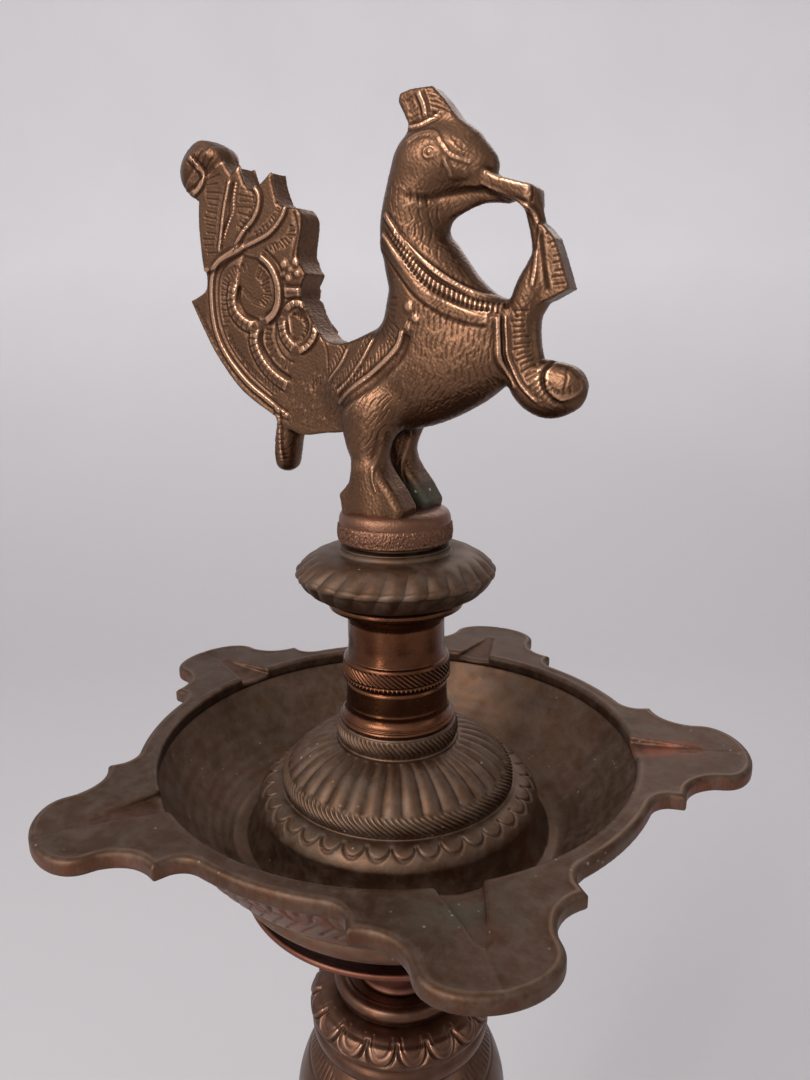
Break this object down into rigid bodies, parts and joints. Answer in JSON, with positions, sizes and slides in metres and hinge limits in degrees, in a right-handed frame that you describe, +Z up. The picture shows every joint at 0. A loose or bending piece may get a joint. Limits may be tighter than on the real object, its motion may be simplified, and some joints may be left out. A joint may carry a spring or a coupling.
{
  "type": "standing oil lamp",
  "caption": "Standing metal oil lamp: a bell foot and turned column carry a drip dish and a spouted oil bowl, under a turned neck, a gadrooned knob and a bird finial; all pieces unscrew.",
  "frame": {"origin": "middle of the bell foot's underside, on the floor", "axes": "+Z up along the lamp's turning axis, +X the way the bird's breast faces, +Y to the bird's left"},
  "size_m": [0.259, 0.259, 0.6565],
  "materials": {
    "bronze": "aged red-brown bronze with worn bright edges",
    "dusty_bronze": "dull grey-brown bronze under a thin film of dust and old oil",
    "copper_bronze": "smooth dark copper-brown with a handled polish",
    "thread": "bare cut metal"
  },
  "bodies": {
    "bell_foot": {"bell_foot": "bronze"},
    "lower_column_stud": {"lower_column_stud": "thread"},
    "lower_column": {"lower_column": "bronze"},
    "middle_knop_stud": {"middle_knop_stud": "thread"},
    "middle_knop": {"middle_knop": "bronze"},
    "upper_column_stud": {"upper_column_stud": "thread"},
    "upper_column": {"upper_column": "bronze"},
    "drip_dish_stud": {"drip_dish_stud": "thread"},
    "drip_dish": {"drip_dish": "copper_bronze"},
    "oil_bowl_stud": {"oil_bowl_stud": "thread"},
    "oil_bowl": {"oil_bowl": "dusty_bronze"},
    "neck_spool_stud": {"neck_spool_stud": "thread"},
    "neck_spool": {"neck_spool": "copper_bronze"},
    "gadrooned_knob_stud": {"gadrooned_knob_stud": "thread"},
    "gadrooned_knob": {"gadrooned_knob": "dusty_bronze"},
    "bird_finial_stud": {"bird_finial_stud": "thread"},
    "bird_finial": {"bird_finial": "bronze"}
  },
  "joints": [
    {"name": "lower_column_rise", "type": "slide", "parent": "bell_foot", "child": "lower_column_stud", "axis": [0, 0, 1], "range_m": [0, 0.01]},
    {"name": "lower_column_turn", "type": "hinge", "parent": "lower_column_stud", "child": "lower_column", "pos_m": [0, 0, 0.0963], "axis": [0, 0, 1], "range_deg": [0, 1440]},
    {"name": "middle_knop_rise", "type": "slide", "parent": "lower_column", "child": "middle_knop_stud", "axis": [0, 0, 1], "range_m": [0, 0.01]},
    {"name": "middle_knop_turn", "type": "hinge", "parent": "middle_knop_stud", "child": "middle_knop", "pos_m": [0, 0, 0.184], "axis": [0, 0, 1], "range_deg": [0, 1440]},
    {"name": "upper_column_rise", "type": "slide", "parent": "middle_knop", "child": "upper_column_stud", "axis": [0, 0, 1], "range_m": [0, 0.01]},
    {"name": "upper_column_turn", "type": "hinge", "parent": "upper_column_stud", "child": "upper_column", "pos_m": [0, 0, 0.2313], "axis": [0, 0, 1], "range_deg": [0, 1440]},
    {"name": "drip_dish_rise", "type": "slide", "parent": "upper_column", "child": "drip_dish_stud", "axis": [0, 0, 1], "range_m": [0, 0.01]},
    {"name": "drip_dish_turn", "type": "hinge", "parent": "drip_dish_stud", "child": "drip_dish", "pos_m": [0, 0, 0.3317], "axis": [0, 0, 1], "range_deg": [0, 1440]},
    {"name": "oil_bowl_rise", "type": "slide", "parent": "drip_dish", "child": "oil_bowl_stud", "axis": [0, 0, 1], "range_m": [0, 0.01]},
    {"name": "oil_bowl_turn", "type": "hinge", "parent": "oil_bowl_stud", "child": "oil_bowl", "pos_m": [0, 0, 0.382], "axis": [0, 0, 1], "range_deg": [0, 1440]},
    {"name": "neck_spool_rise", "type": "slide", "parent": "oil_bowl", "child": "neck_spool_stud", "axis": [0, 0, 1], "range_m": [0, 0.01]},
    {"name": "neck_spool_turn", "type": "hinge", "parent": "neck_spool_stud", "child": "neck_spool", "pos_m": [0, 0, 0.4443], "axis": [0, 0, 1], "range_deg": [0, 1440]},
    {"name": "gadrooned_knob_rise", "type": "slide", "parent": "neck_spool", "child": "gadrooned_knob_stud", "axis": [0, 0, 1], "range_m": [0, 0.01]},
    {"name": "gadrooned_knob_turn", "type": "hinge", "parent": "gadrooned_knob_stud", "child": "gadrooned_knob", "pos_m": [0, 0, 0.4921], "axis": [0, 0, 1], "range_deg": [0, 1440]},
    {"name": "bird_finial_rise", "type": "slide", "parent": "gadrooned_knob", "child": "bird_finial_stud", "axis": [0, 0, 1], "range_m": [0, 0.01]},
    {"name": "bird_finial_turn", "type": "hinge", "parent": "bird_finial_stud", "child": "bird_finial", "pos_m": [0, 0, 0.5127], "axis": [0, 0, 1], "range_deg": [0, 1440]}
  ],
  "couplings": [
    {"joint": "lower_column_rise", "follows": "lower_column_turn", "m_per_rad": 0.00039788},
    {"joint": "middle_knop_rise", "follows": "middle_knop_turn", "m_per_rad": 0.00039788},
    {"joint": "upper_column_rise", "follows": "upper_column_turn", "m_per_rad": 0.00039788},
    {"joint": "drip_dish_rise", "follows": "drip_dish_turn", "m_per_rad": 0.00039788},
    {"joint": "oil_bowl_rise", "follows": "oil_bowl_turn", "m_per_rad": 0.00039788},
    {"joint": "neck_spool_rise", "follows": "neck_spool_turn", "m_per_rad": 0.00039788},
    {"joint": "gadrooned_knob_rise", "follows": "gadrooned_knob_turn", "m_per_rad": 0.00039788},
    {"joint": "bird_finial_rise", "follows": "bird_finial_turn", "m_per_rad": 0.00039788}
  ]
}
